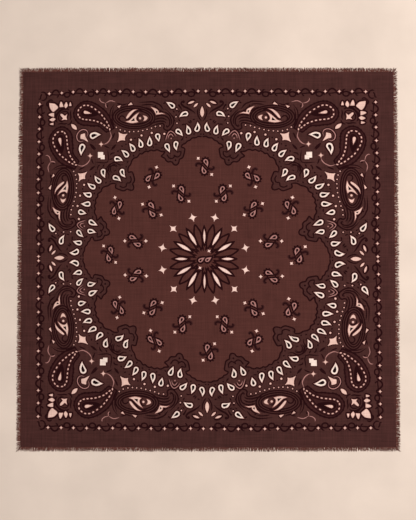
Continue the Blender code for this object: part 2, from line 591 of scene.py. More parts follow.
# The chain of stars and scrolls round the border
chain = dict(
    starsAlong=(10.3, 45.3, 81.5, 114.5, 150.7, 183.8, 220, 252.6, 287.4, 320.4, 356, 388.8, 423.7),
    line=450.3,           # its distance from the middle
    sideLine=449.7,
    sideShift=-4.2,       # the side chain runs this much nearer to the middle of its side
    droop=2.5,            # how far the top stars hang below the line at droopAt
    droopAt=420,
    starReach=5.5,
    starShade=6.6,
    shadeDrop=1,          # the shade of a top star hangs this much lower still
    lineWidth=3.7,
    lowWidth=2.7,
    hookWidth=3.0,
    ringWidth=3.4,
    taper=0.12,
    beforeFirst=-23.7,    # a full gap before the first star, where the first repeat would start
    afterLast=455,        # about a gap past the last star, where the last repeat would end
    gap=34,               # the units below that lie in the first gap of a repeat
    repeat=69,            # and in both its gaps
    firstFrom=36,         # of the first repeat only the part past its star is drawn
)

# one repeat runs over two gaps between stars: along them in units of about a millimetre, and out
chainArch = (
    (0, -9.5), (4, -6.5), (7, -1), (10, 3.4), (14, 5.8), (18, 6), (22, 4), (25.5, 0),
    (28.5, -4.5), (31, -8), (34, -9.5), (38, -7.5), (41, -3.5), (44, 0.5), (47.5, 4), (51.5, 4.5),
)
chainLow = ((6, -5.8), (11, -6.6), (16, -6.3), (22, -5.6), (27, -5.6), (31, -8))
chainHook = ((8.5, -5), (9.3, -9), (11.5, -12), (14, -13))
chainRing = (
    (52.3, -2.2), (58.5, -3.6), (61, -8), (58.5, -12.8), (52.5, -14.6), (46.5, -12.8), (43.8, -8), (46, -3.6),
)
chainLink = ((58.5, -3), (62.5, -5.5), (66, -8.6), (69, -9.5))


def paintChain(onSide):
    # the first repeat starts before the middle and the last one ends past the corner star
    stops = (chain["beforeFirst"], *chain["starsAlong"], chain["afterLast"])
    gap, repeat = chain["gap"], chain["repeat"]

    def places(first, points, start=0, end=repeat):
        # along counts through two gaps of slightly different width
        near, middle = stops[first], stops[first + 1]
        far = stops[min(first + 2, len(stops) - 1)]
        result = []
        for along, out in points:
            if start <= along <= end:
                if along < gap:
                    run = near + (middle - near) * (along / gap)
                else:
                    run = middle + (far - middle) * ((along - gap) / (repeat - gap))
                if onSide:
                    result.append((chain["sideLine"] + out, run + chain["sideShift"]))
                else:
                    result.append((run, chain["line"] + out))
        return result

    for first in range(0, len(stops) - 1, 2):
        start = chain["firstFrom"] if first == 0 else 0
        end = gap if first == len(stops) - 3 else repeat
        for points, width in (
            (chainArch, chain["lineWidth"]),
            (chainLow, chain["lowWidth"]),
            (chainHook, chain["hookWidth"]),
            (chainLink, chain["lineWidth"]),
        ):
            line = places(first, points, start, end)
            if len(line) > 1:
                drawLines("chain", ((width, line),), "quarter", chain["taper"])
        if end == repeat:
            drawRing("chain", places(first, chainRing), chain["ringWidth"], "quarter")
    shade = chain["starShade"]
    for stop in chain["starsAlong"]:
        if onSide:
            x, y = chain["sideLine"], stop + chain["sideShift"]
            shadeY = y
        else:
            x, y = stop, chain["line"] - chain["droop"] * (stop / chain["droopAt"]) ** 2
            shadeY = y - chain["shadeDrop"]
        paint("chain", oval(x, shadeY, shade, shade), "quarter")
        paint("pink", star(x, y, chain["starReach"], pinch=0.30), "quarter")


for onSide in (False, True):
    paintChain(onSide)
cornerLinks = (
    (3.2, ((426, 443), (430, 444), (434, 449), (440, 452), (446, 451))),
    (3.0, ((435, 447), (431, 441), (433, 434), (439, 430), (446, 431))),
    (3.0, ((443, 447), (447, 441), (448, 434), (453, 433))),
)
drawLines("chain", cornerLinks, "quarter", chain["taper"])

# Ring-shaped drops of the wreath, with two loose ones by the fan: x, y, tip, bow
Drop = namedtuple("Drop", "x y tipX tipY bow")
dropLook = dict(radius=7.2, ring=3.7, halo=3.6)
wreathDrops = (
    Drop(14, 347.5, 13.5, 368, 2.5),
    Drop(36.5, 340.5, 42.5, 360.5, 1.5),
    Drop(65.5, 342.5, 51.5, 328, -1.2),
    Drop(71, 308.5, 67.5, 289, 2),
    Drop(96, 303, 87.5, 284, 0),
    Drop(121.5, 331, 117.5, 313.5, 0),
    Drop(143, 309.5, 144, 331.5, 1),
    Drop(166.5, 305, 173.8, 324.5, 2),
    Drop(187.5, 294, 199, 311, 1.5),
    Drop(204.5, 278.5, 220.5, 291.5, 1.5),
    Drop(231.5, 267.5, 213, 260.5, -2),
    Drop(215.5, 233.5, 204.5, 217, 2.5),
    Drop(80, 411.5, 98, 423, 1),
    Drop(44.5, 389.5, 62.5, 379.5, 2.5),
)
cornerDrop = Drop(299.5, 329.5, 275, 332.5, -2)


def paintDrop(row, radius, ring, halo):
    body = drop(row.x, row.y, row.tipX, row.tipY, radius, row.bow)
    share = 0.62   # of the drop's length, for the hole in it
    inner = drop(
        row.x,
        row.y,
        row.x + (row.tipX - row.x) * share,
        row.y + (row.tipY - row.y) * share,
        radius - ring,
        row.bow * share,
        steps=7,
    )
    paint("wreath", grown(body, halo))
    paint("cream", body)
    paint("hole", inner)


for row in wreathDrops:
    paintDrop(row, **dropLook)
paintDrop(cornerDrop, radius=8.8, ring=4.4, halo=3.8)

wreathDots = ((103.3, 336.5), (137.5, 339.3), (165, 332), (193, 319.5))
for x, y in wreathDots:
    paint("wreath", oval(x, y, 5.6, 5.6))
    paint("pink", oval(x, y, 2.9, 2.9, sides=12))

# Arches between the drops
arches = (
    (2.0, ((70, 329), (77, 338), (86, 343.5), (93, 338), (97, 328), (100, 318))),
    (2.0, ((78, 327), (82, 333), (86, 335.5), (91, 331), (93, 323))),
)
drawLines("mauve", arches)
paint("mauve", oval(84.5, 323, 1.8, 1.8, sides=8))
archShades = (
    (2.6, ((64, 331), (74, 341), (86, 347), (96, 341), (101, 328), (103, 319))),
    (2.6, ((75, 327), (80, 336), (86, 339.5), (92, 335), (95, 325))),
    (2.2, ((81, 327), (85, 330.5), (88, 326))),
)
drawLines("wreath", archShades)

# The big star beside the corner drops
bigStar = ((202, 336), (226.5, 340), (230.5, 312), (208.5, 316.5))
paintHaloed("pink", starLoop(217.5, 326, bigStar, 0.46), 3)

# Small dark leaves and lines between the drops of the wreath
wreathMarks = (
    (3.0, ((2, 336), (5, 332))),
    (3.4, ((19, 336), (24, 333))),
    (3.0, ((40, 325), (45, 326))),
    (3.4, ((51, 325), (54, 320), (57, 317))),
    (3.0, ((107, 299), (112, 296))),
    (3.0, ((121, 308), (131, 308))),
    (3.0, ((131, 301), (134, 298))),
    (3.0, ((150, 293), (155, 295))),
    (3.0, ((168, 291), (173, 289))),
    (3.0, ((183, 275), (188, 277))),
    (3.0, ((199, 261), (203, 257))),
    (3.0, ((203, 248), (206, 245))),
    (3.0, ((214, 301), (220, 303))),
    (3.0, ((204, 308), (208, 306))),
    (3.4, ((226, 290), (230, 286))),
    (3.0, ((180, 325), (185, 323))),
    (3.0, ((236, 284), (246, 282), (249, 277))),
    (3.0, ((243, 269), (252, 265))),
    (2.6, ((212, 253), (222, 251), (232, 256), (240, 258), (252, 250), (256, 238), (254, 225))),
    (2.6, ((228, 247), (236, 252), (246, 249), (249, 238), (244, 229))),
    (2.2, ((232, 236), (236, 237))),
    (3.4, ((237, 338), (240, 330), (244, 321))),
    (3.0, ((252, 296), (262, 301), (267, 302))),
)
drawLines("wreath", wreathMarks)

# Dotted line under the eye
eyeDots = (
    (114.7, 358.5), (127.5, 356.8), (138, 352.3), (150, 349), (161.8, 345.8), (173.6, 343.3),
    (185.7, 342.3), (197, 341.5), (209.2, 342.7), (221.6, 346), (232.5, 352.5),
)
for x, y in (*eyeDots, (68.3, 403), (70.5, 382.3), (68, 364.5)):
    paint("wreath", oval(x, y, 4.2, 4.2, sides=10))
    paint("dots", oval(x, y, 2.0, 2.0, sides=8))

# The eye and the wing beside it
eyeWing = (
    (99, 389.5, sharp), (109, 393.8), (116.5, 393.5), (118, 399), (124, 404.5), (139, 410, sharp),
    (131, 401.5), (127.5, 395), (124.5, 388.5, sharp), (117, 389.5), (108, 390.5),
)
eyeWingHole = ((119.5, 396.5), (125.5, 400), (123.5, 391.5))
eyeCrescent = (
    (160.5, 386.8, sharp), (152, 384.5), (147.8, 380.5), (151, 375), (159.5, 371, sharp), (156.5, 379.5),
)
eyeLash = (
    (173, 403.2, sharp), (187, 400.5), (198, 392), (205.5, 379.5), (201.5, 377.8), (193, 387.5), (183, 398),
)
eyeLetter = (
    (169, 395.5, sharp), (180, 388.5), (190, 379.5), (198, 372), (208, 368.7, sharp), (192, 365.3),
    (180, 366.8), (172.8, 368.8, sharp), (177.5, 373.5), (178.3, 380), (175, 387.5),
)
eyeLetterHole = ((183.8, 380), (182.3, 371.5), (193.5, 370.6))
paint("pink", outline(eyeWing))
paint("hole", outline([(*point, sharp) for point in eyeWingHole]))
paint("pink", outline(eyeCrescent))
paint("pink", oval(168, 378.8, 3.2, 3.2))
paint("pink", outline(eyeLash))
paint("pink", outline(eyeLetter))
paint("hole", outline([(*point, sharp) for point in eyeLetterHole]))

# dark rings round the eye, then the lines inside it
eyeMiddle = (185, 381)
for halfLong, halfShort in ((44, 19), (50.5, 25), (57, 30.5)):
    drawRing("wreath", oval(*eyeMiddle, halfLong, halfShort, sides=16), 3.0)
eyeLines = (
    (5.0, ((170, 398), (182, 395), (190, 384), (198, 376), (207, 373))),
    (3.0, ((162, 386.5), (170, 388), (175, 380), (174, 372), (168, 370))),
    (2.6, ((158, 379), (160, 372))),
    (3.0, ((206, 374), (210, 381), (217, 384), (223, 380), (222, 371), (214, 367))),
    (3.0, ((150, 392), (160, 397), (172, 404), (186, 404.5), (200, 396))),
    (3.0, ((147, 370), (158, 367), (170, 364.5), (190, 362))),
)
drawLines("wreath", eyeLines)

eyeTriangles = (
    ((186.5, 415.3, sharp), (191, 421.3, sharp), (200, 413, sharp)),
    ((219, 413, sharp), (230, 409.3, sharp), (224.5, 405, sharp)),
)
for points in eyeTriangles:
    paintHaloed("pink", outline(points), 3.2)

# the leaf that the eye lies in: lines over it, round its tail and beside it
eyeLeafLines = (
    (3.2, ((170, 421), (150, 422.5), (133, 423), (125, 420), (117, 417), (112, 413), (108, 408), (103, 402))),
    (2.6, ((130, 414), (140, 416), (152, 415.5), (165, 413.5))),
    (3.0, ((200, 418), (214, 413.5), (222, 416), (231, 418))),
    (2.4, ((240, 407), (244.5, 386), (242, 366), (233, 354))),
    (3.2, (
        (101, 405), (93, 398), (87, 392), (82, 386), (78, 381), (76, 373), (78, 362), (83, 354), (88, 348),
        (94, 346), (100, 347), (105, 352), (103.5, 359), (106, 364.5), (114, 365), (126, 362), (136, 359),
        (146, 357),
    )),
    (3.0, ((107, 396), (100, 395), (93, 391), (88, 386), (85, 379), (83, 372), (83, 365), (86, 359))),
    (3.0, (
        (129, 381), (120, 386), (110, 387.5), (100, 385), (93, 381), (89, 375), (88, 366), (90, 359),
        (95, 355), (98, 358), (95, 361),
    )),
    (3.0, ((130, 374), (122, 378), (112, 379.5), (103, 378), (95, 373))),
    (3.0, ((150, 363), (140, 366), (130, 368), (118, 371), (108, 371), (101, 369), (98, 365))),
    (4.4, ((100, 386), (108, 387.5), (117, 386.5), (125, 383))),
    (3.4, ((104, 396.5), (110, 398), (115, 400), (120, 405), (126, 408.5), (134, 411.5))),
    (3.2, ((127, 387), (129, 396), (136, 401), (145, 405), (152, 408.5))),
    (3.2, ((99, 421.5), (105, 417.5))),
)
drawLines("wreath", eyeLeafLines)
drawBlobs("wreath", ((94, 356, 2.6), (106, 396, 2.4), (113, 396.5, 2.4), (126, 412, 2.4)))

# The paisley: its line of dashes, the edges either side and the serrated outer line
paisleyDashes = (
    (250.8, 347), (254, 357.2), (259, 366.5), (266, 375.8), (273, 384.5), (281, 393), (292, 400.8),
    (302.7, 407.3), (313.3, 411.3), (324.2, 411.2), (334, 406), (340.6, 398.3), (341.5, 386.3),
    (337, 379), (328, 374.4), (317.8, 373), (307.3, 372), (296.2, 370.5), (285.5, 367.5),
    (275, 363.5), (266.5, 358), (258.5, 351.8),
)
dash = dict(length=6.4, width=3.3, stopLong=1.6, stopAcross=2.8, edgeGap=5.2, edgeWidth=2.0)


def paintPaisley():
    count = len(paisleyDashes)
    for index, (x, y) in enumerate(paisleyDashes):
        before = paisleyDashes[index - 1]
        after = paisleyDashes[(index + 1) % count]
        angle = math.atan2(after[1] - before[1], after[0] - before[0])
        if index == 0:
            angle = math.pi / 2
        paint("pink", oval(x, y, dash["length"] / 2, dash["width"] / 2, angle, sides=12))
        # a dark stop between this dash and the next
        middleX, middleY = (x + after[0]) / 2, (y + after[1]) / 2
        paint("wreath", oval(middleX, middleY, dash["stopLong"], dash["stopAcross"], angle, sides=8))
    for gap in (dash["edgeGap"], -dash["edgeGap"]):
        drawRing("wreath", grown(list(paisleyDashes), gap), dash["edgeWidth"])


paintPaisley()

# the serrated line round the paisley is a row of blobs on a thin line
paisleyOuter = (
    (240, 350), (243, 362), (248, 373), (255, 386), (262, 395), (270, 402), (283, 411), (292, 416),
    (303, 420), (315, 422.5), (325, 421.5), (334, 418), (343, 411), (350.5, 402), (354, 391), (353, 381),
    (348, 372), (341, 364), (333, 360), (325, 358), (315, 358), (305, 356.5), (296, 356), (283, 356),
    (270, 347), (260, 340),
)
paisleyInside = (
    (284, 386), (292, 393), (306, 401), (318, 403), (329, 398), (333.5, 391), (330, 384), (318, 381),
    (300, 381),
)
paisleyCrook = ((250.8, 343), (247, 330), (249.5, 322), (254, 314.5), (261, 309), (268, 306.5))
drawRing("wreath", paisleyOuter, 3.0)
drawBlobs("wreath", [(x, y, 3.0) for x, y in paisleyOuter])
drawLines("wreath", (
    (2.4, ((238, 415), (249, 398), (250, 378), (246, 362), (239, 348))),
    (3.0, ((257, 413), (259, 406))),
))
paint("shade", grown(outline(paisleyOuter), -1.5))
paint("wreath", outline(paisleyInside))
paint("pink", drop(321.5, 393, 303, 389.5, 4.0))
paint("mauve", stroke(paisleyCrook, 2.6))
paint("pink", star(275.5, 307, 8.0, pinch=0.2))

# The twig over the paisley
twigLines = (
    (2.0, ((234, 421), (242.5, 423.5), (249.5, 424), (255.5, 421.5), (262, 417.5))),
    (2.0, ((262, 417.5), (270, 419), (276, 422), (279.5, 427), (279, 432))),
    (2.2, ((262, 418), (262.5, 410), (259, 405))),
)
drawLines("mauve", twigLines)

# The fan in the middle of each side
fanPetals = ((11, 418, 23, 406.5, 5.6), (20.5, 423, 38, 416.5, 5.6))
for row in fanPetals:
    paintHaloed("pink", lens(*row), 2.6)
middlePetal = (
    (0, 410, sharp), (3.5, 402), (5.2, 394), (4, 386), (0, 379.5, sharp), (-4, 386), (-5.2, 394), (-3.5, 402),
)
paintHaloed("pink", outline(middlePetal), 2.6)
fanLines = (
    (2.8, ((10, 405), (12.5, 395), (11, 385), (7, 376), (2, 370))),
    (3.4, ((15, 423), (22, 427), (30, 426), (37, 421), (40, 416), (34, 413), (27, 414))),
    (4.2, (
        (18, 389), (25, 396), (33, 401), (40, 405), (47, 408), (52, 412), (56, 417), (54, 423), (48, 424),
    )),
    (3.0, ((28, 365), (33, 373))),
    (3.0, ((30, 363), (38, 369))),
    (3.0, ((19, 374), (26, 373))),
    (3.0, ((43, 361), (52, 361), (53, 358))),
    (3.0, ((64, 376), (59, 369))),
    (3.2, ((54, 400), (60, 410), (63, 416))),
    (3.0, ((60, 399), (65, 394))),
    (3.0, ((74, 394), (79, 399))),
)
drawLines("wreath", fanLines)
drawBlobs("wreath", ((50, 422, 4), (63, 413, 2.4), (68, 399, 2.4), (70, 387, 2.4), (75, 372, 2.4)))

# Motifs that lie on the diagonal of a quarter

steppedSquare = (
    (269.5, 286.2, sharp), (269.5, 278, sharp), (265.3, 278, sharp), (265.3, 266.3, sharp),
    (277, 266.3, sharp), (277, 270.3, sharp), (285, 270.3, sharp), (285, 286.2, sharp),
)
paintHaloed("cream", outline(steppedSquare, 1), 2.4, "quarter")
drawLines("wreath", ((2.4, ((257, 293), (257, 259), (293, 259))),), "quarter", 0.02)
cornerLeaf = (
    (399, 409), (403, 415.5), (410, 420.5), (423.8, 422.5, sharp), (422.5, 412), (418.5, 403.5),
    (412.5, 398), (405.5, 402.5),
)
birdFoot = (
    (372.5, 389.5, sharp), (374.5, 380), (372.5, 372.5, sharp), (380, 374), (389, 372.5, sharp),
    (384.5, 378, sharp), (391.5, 386.5), (391.5, 391), (387, 390.5), (379, 384, sharp),
)
paintHaloed("pink", outline(cornerLeaf), 5, "quarter")
paintHaloed("pink", lens(345, 346, 361, 361, 10), 3.0, "quarter")
paintHaloed("pink", outline(birdFoot), 3.4, "quarter")
cornerLines = (
    (5.0, ((367, 400), (374, 404), (382, 404.5), (390, 402), (396, 397), (400, 392))),
    (2.8, ((368, 382), (369, 390), (375, 396.5), (383, 397), (390, 395.5))),
    (3.2, ((362, 400), (363.5, 390), (362, 380), (364, 371))),
    (2.8, ((360, 372), (361, 366), (367, 362))),
    (3.2, ((427, 428), (431, 420), (428, 413))),
)
drawLines("wreath", cornerLines)
mushroomCap = (
    (322, 336), (328, 335), (333.8, 332.8), (335, 327), (334.5, 321.8), (330, 320.5), (325.5, 319.5),
    (312, 312.5, sharp), (320, 326), (321.5, 331),
)
mushroomBand = (
    (316.5, 326), (313.5, 335), (317, 343.5), (326.5, 346.5), (336, 343), (342.5, 336), (345.5, 327),
    (342, 317), (333.5, 313.5), (326, 316.5),
)
paintHaloed("pink", outline(mushroomCap), 2.4, "quarter")
paint("wreath", stroke(mushroomBand, 8.0), "quarter")
paint("mauve", stroke(mushroomBand, 2.4), "quarter")

cornerPetals = (
    ((360.6, 411, sharp), (361.8, 417), (364, 421.6), (366.4, 417), (367.4, 411, sharp)),
    ((371.3, 412), (373.3, 419), (376, 422.5), (379.2, 418.5), (381.6, 411.5), (377.2, 405.3, sharp)),
    (
        (383.5, 410, sharp), (385.6, 417), (388.6, 423), (391.3, 425), (393.6, 421), (395, 415),
        (394.6, 410, sharp),
    ),
)
for points in cornerPetals:
    paintHaloed("pink", outline(points, 3), 4.6)

# Sprigs inside the field: two ring drops head to tail, two stars and two curls
Sprig = namedtuple("Sprig", "x y turn")
sprigs = (
    Sprig(55.7, 174.3, 93),
    Sprig(131.3, 218.4, 155),
    Sprig(133.7, 131.5, 77),
    Sprig(229.0, 134, 125),
    Sprig(179.6, 46.9, 45.5),
)
# the four that lie on the axes, which don't mirror each other
axisSprigs = (
    Sprig(8.7, 247.2, 83),
    Sprig(8.7, -247.2, 97),
    Sprig(-251.2, 9.5, 81),
    Sprig(251.2, 9.5, 99),
)
sprigLook = dict(
    drop=(14.2, 0, 0, 6.8),        # its middle and tip, from the middle of the sprig
    radius=5.6,
    bow=-1.2,
    hole=(14.2, 0.3, 5.5, 4),
    holeRadius=2.9,
    halo=4.6,
    bump=2.6,                      # radius of the bumps round the halo
    bumpMiddle=14,
    bumpReach=10.8,
    bumpLag=12,                    # degrees
    star=(19.4, -20.4),
    starReach=6.2,
    starShade=8.5,
    starTurn=0.72,                 # radians
    armWidth=3.6,
    armShade=9.0,
)
sprigArm = ((0, -4.5), (4.4, -11), (6, -17.5), (3.4, -22.8), (-1, -22.6), (-2.4, -19.4))


def paintSprig(row, copies, flip=1):
    turn = math.radians(row.turn)

    def put(points, side):
        placed = []
        for x, y in points:
            along, across = side * x, side * flip * y
            placed.append((
                row.x + along * math.cos(turn) - across * math.sin(turn),
                row.y + along * math.sin(turn) + across * math.cos(turn),
            ))
        return placed

    for side in (1, -1):
        body = put(drop(*sprigLook["drop"], sprigLook["radius"], sprigLook["bow"], steps=7), side)
        hole = put(drop(*sprigLook["hole"], sprigLook["holeRadius"], steps=6), side)
        paint("field", grown(body, sprigLook["halo"]), copies)
        for degrees in range(-120, 121, 40):
            bumpTurn = math.radians(degrees - sprigLook["bumpLag"])
            reach = sprigLook["bumpReach"]
            bumpX = sprigLook["bumpMiddle"] + reach * math.cos(bumpTurn)
            bump = put([(bumpX, reach * math.sin(bumpTurn))], side)[0]
            paint("field", oval(*bump, sprigLook["bump"], sprigLook["bump"], sides=8), copies)
        paint("shade", stroke(put(sprigArm, side), sprigLook["armShade"]), copies)
        paint("field", stroke(put(sprigArm, side), sprigLook["armWidth"]), copies)
        paint("mauve", body, copies)
        paint("hole", hole, copies)
        starAt = put([sprigLook["star"]], side)[0]
        starTurn = turn + sprigLook["starTurn"] * flip
        paint("field", star(*starAt, sprigLook["starShade"], starTurn, pinch=0.5), copies)
        paint("petals", star(*starAt, sprigLook["starReach"], starTurn, pinch=0.42), copies)


for row in sprigs:
    paintSprig(row, "quarter")
for row in axisSprigs:
    paintSprig(row, "whole", flip=1 if row.turn > 90 else -1)

def turned(points, degrees):
    cosine, sine = math.cos(math.radians(degrees)), math.sin(math.radians(degrees))
    return [(x * cosine - y * sine, x * sine + y * cosine) for x, y in points]


# The medallion: pale petals with empty ones between them, and a ring of stars
medallion = dict(
    # angle, start, end and width of each pale petal
    petals=((0, 45, 78, 6.8), (30, 41, 84, 8.6), (60, 41, 86, 8.6), (90, 41, 80, 5.8)),
    shadeBefore=10,       # the dark petal behind starts and ends past the pale one, and is wider
    shadePast=12,
    shadeWider=9.2,
    emptyWidth=3.9,       # of the line round an empty petal
    starAt=114,
    starReach=12.2,
    starShade=13.5,
    rays=(8, 23, 38, 53, 68, 83),
    rayWidth=2.8,
    dropRadius=5.2,
    dropHalo=5,
)
emptyPetal = (
    (27, 0), (37, -4.5), (48, -7), (70, -9), (84, -5), (94, 0), (84, 5), (70, 9), (48, 7), (37, 4.5),
)
medallionLines = (
    (3.4, ((14, 30), (17, 38))),
    (3.0, ((20, 26), (27, 25), (33, 28))),
    (3.4, ((30, 14), (38, 17))),
    (3.4, ((6, 30), (4, 40))),
    (3.4, ((30, 6), (40, 4))),
)
for angle, near, far, width in medallion["petals"]:
    shade = lens(
        near - medallion["shadeBefore"], 0, far + medallion["shadePast"], 0, width + medallion["shadeWider"]
    )
    paint("field", turned(shade, angle), "quarter")
    paint("petals", turned(lens(near, 0, far, 0, width, thin=1.0), angle), "quarter")
starShade = star(medallion["starAt"], 0, medallion["starShade"], pinch=0.4)
paleStar = star(medallion["starAt"], 0, medallion["starReach"], pinch=0.24)
for angle in (15, 45, 75):
    drawRing("field", turned(emptyPetal, angle), medallion["emptyWidth"], "quarter")
    paint("field", turned(starShade, angle), "quarter")
    paint("petals", turned(paleStar, angle), "quarter")
for angle in medallion["rays"]:
    drawLines("field", ((medallion["rayWidth"], turned(((21, 0), (34, 0)), angle)),), "quarter")
drawLines("field", medallionLines, "quarter")
for x, y in ((-11, -4), (7, -3)):
    body = drop(x, y, x + 12, y + 8, medallion["dropRadius"], steps=7)
    paint("field", grown(body, medallion["dropHalo"]), "whole")
    paint("mauve", body, "whole")
    paint("hole", drop(x, y, x + 5, y + 3.5, medallion["dropRadius"] / 2, steps=6), "whole")
for x, y in ((12, 21), (-12, -24)):
    paint("petals", star(x, y, 6, 0.6), "whole")

# The wavy line round the field, and the lobes that hang in from it
fieldLines = (
    (3.2, (
        (0, 326.5), (10, 328), (17, 324.5), (27, 323.5), (32, 318), (40, 315), (45, 309), (52, 306.5),
        (57, 299),
    )),
    (3.2, (
        (100.5, 288), (106, 287), (113, 288), (119, 291.5), (125, 292), (131, 289.5), (138, 291.5),
        (144, 289), (147, 287), (152, 288.5), (158, 285.5), (163, 281), (169, 281.5), (173, 276),
        (177, 271.5), (184, 269.5), (189, 264), (191, 258), (193, 252), (197, 247), (199, 241),
        (198.9, 230.4),
    )),
)
drawLines("wreath", fieldLines, taper=0.02)

lobe = (
    (57, 299), (50, 297.5), (46, 294), (46.5, 288), (48, 280), (50, 273), (54, 269), (60, 266), (61, 261),
    (63, 255), (67, 251.5), (71, 251), (76, 253), (80, 258.5), (86, 260), (92, 259.5), (98, 264), (101, 269),
    (111, 274.5), (107, 279), (102, 285), (100.5, 288),
)
lobeInside = ((57, 289), (56.5, 284), (58, 278), (62, 274), (66, 272.5), (71, 274.5), (74, 276))
lobeInsideToo = ((71, 275), (75, 273), (79, 269.5), (84, 268.5), (89, 270.5), (93, 275), (96, 280))
drawLines("wreath", ((3.2, lobe), (2.8, lobeInside), (2.8, lobeInsideToo)), taper=0.02)
drawLines("wreath", ((2.6, ((58, 288), (63, 286.5), (69, 285))),))
drawBlobs("wreath", ((71, 264, 2.6), (75, 277, 2.2)))
# half of the lobe on the diagonal, which its mirror image makes whole
drawLines("wreath", ((3.2, turned(lobe[:12], -30)), (2.8, turned(lobeInside, -30))), taper=0.02)
drawBlobs("wreath", ((133, 300, 2.0), (170, 291, 2.0), (186, 277, 2.0), (201, 259, 2.0)))

# Dark slashes between the big motifs
slashes = ((233, 307, 247, 291), (290, 293, 309, 309))
for row in slashes:
    paint("wreath", lens(*row, 6))


# Where the screen for the sides lies off the mirror image of the one for the top
Pull = namedtuple("Pull", "x y reach dx dy")
sidePulls = (
    Pull(342, 160, 75, 3.6, 3.6),
    Pull(280, 210, 55, 2.2, 2.2),
    Pull(346, 48, 38, -3.4, 4.0),
    Pull(412, 20, 30, -3.2, -1.2),
)


def pulled(x, y, pulls):
    dx = dy = 0.0
    for pull in pulls:
        far = ((x - pull.x) ** 2 + (y - pull.y) ** 2) / pull.reach ** 2
        weight = math.exp(-far * far) if far < 3 else 0
        dx += pull.dx * weight
        dy += pull.dy * weight
    return x + dx, y + dy


# The warm ground inside the wavy line: its edge in the wedge, mirrored round the whole field
fieldEdge = throughPoints(
    [*fieldLines[0][1], *lobe[1:-1], *fieldLines[1][1], *turned(lobe[1:12], -30)], steps=3
)
fieldEdge += [pulled(y, x, sidePulls) for x, y in reversed(fieldEdge)]
wholeEdge = []
for flipX, flipY in ((1, 1), (1, -1), (-1, -1), (-1, 1)):
    part = [(flipX * x, flipY * y) for x, y in fieldEdge]
    wholeEdge += part if flipX == flipY else part[::-1]
paint("ground", wholeEdge, "whole")

# How the print lies off true on the cloth: on the left and right it lies further to the right than
# in the middle, with small stretches here and there, all listed below
lay = dict(
    half=450,             # from the middle of the print to its side
    shift=12.5,           # the whole print, to the right
    widen=2.5,            # further to the right at the right side, less at the left
    skew=2.0,             # and less far at the top, further at the bottom
    middle=15.5,          # the middle lies back to the left by this much
    middleReach=320,
    heldLow=0.36,         # the share of that which is left below heldFrom
    heldFrom=-290,
    heldOver=110,         # and it grows to all of it over this height
)
layPulls = (
    Pull(-15, 0, 150, 4.6, -0.3),       # the medallion
    Pull(0, 225, 85, -2.0, 0),
    Pull(-160, 140, 105, -2.2, 0),
    Pull(-180, 0, 50, -2.0, 0),
    Pull(215, 140, 85, 0.3, 2.4),
    Pull(250, 10, 55, -3.3, 0.5),
    Pull(-225, 150, 50, 0, 2.2),
    Pull(-225, -205, 75, 4.4, 0.8),
    Pull(235, -205, 55, 3.0, 1.5),
    Pull(-300, -100, 165, 0, 4.0),      # the left side
    Pull(-400, -270, 190, 0, 3.3),
    Pull(-450, 430, 85, 1.8, -4.8),
    Pull(-432, 300, 60, 0.2, -2.6),
    Pull(-432, 190, 70, -1.4, -3.2),
    Pull(-432, 60, 60, 0, -2.0),
    Pull(400, 390, 110, -2.6, 1.2),     # the right side
    Pull(345, 300, 55, -0.8, 2.0),
    Pull(410, 180, 50, 0, -2.0),
    Pull(410, 60, 90, -2.3, -0.5),
    Pull(410, -180, 60, 0, 3.0),
    Pull(290, -330, 150, 2.2, 1.9),
    Pull(410, -420, 70, 0.6, 0.3),
    Pull(-140, 400, 85, 1.0, -2.1),     # the top
    Pull(-140, 310, 72, 1.9, -0.3),
    Pull(-200, 470, 60, -2.0, 0),
    Pull(185, 290, 85, 2.3, 0.8),
    Pull(-205, -475, 70, 2.9, 1.5),     # the bottom
    Pull(-90, -475, 70, 2.6, 0.8),
    Pull(-15, -390, 75, 0, 1.7),
)


def layOnCloth(x, y):
    plateau = math.exp(-((x / lay["middleReach"]) ** 4))
    climbed = smoothShare((y - lay["heldFrom"]) / lay["heldOver"])
    held = lay["heldLow"] + (1 - lay["heldLow"]) * climbed
    dx = lay["shift"] + lay["widen"] * x / lay["half"] - lay["skew"] * y / lay["half"]
    dx -= lay["middle"] * plateau * held
    shiftX, shiftY = pulled(x + dx, y, layPulls)
    return (shiftX + printMiddle[0]) * mm, (shiftY + printMiddle[1]) * mm


def printedLoops():
    # every closed loop on the cloth with its plate, in the order they are printed
    loops = []
    for plate, sets in printed.items():
        quarter = [(plate, loop) for loop in sets["quarter"]]
        for loop in sets["half"]:
            quarter.append((plate, loop))
            quarter.append((sidePlates.get(plate, plate), [pulled(y, x, sidePulls) for x, y in loop]))
        for loopPlate, loop in quarter:
            for flipX in (1, -1):
                for flipY in (1, -1):
                    loops.append((loopPlate, [(flipX * x, flipY * y) for x, y in loop]))
        for loop in sets["whole"]:
            loops.append((plate, loop))
    return loops


def cutTriangles(loops):
    # all the outlines, with a loose grid between them, cut into triangles that don't overlap
    points = []
    edges = []
    for plate, loop in loops:
        first, count = len(points), len(loop)
        points.extend(Vector(point) for point in loop)
        edges.extend((first + index, first + (index + 1) % count) for index in range(count))
    cell = looseGrid["cell"]
    cells = int(looseGrid["span"] / cell)
    for row in range(cells + 1):
        for column in range(cells + 1):
            stagger = 0.5 * (row % 2)
            x = (column + stagger) * cell + looseGrid["left"]
            points.append(Vector((x, row * cell + looseGrid["bottom"])))
    cut = delaunay_2d_cdt(points, edges, [], 0, 1e-4, False)
    return cut[0], cut[2]


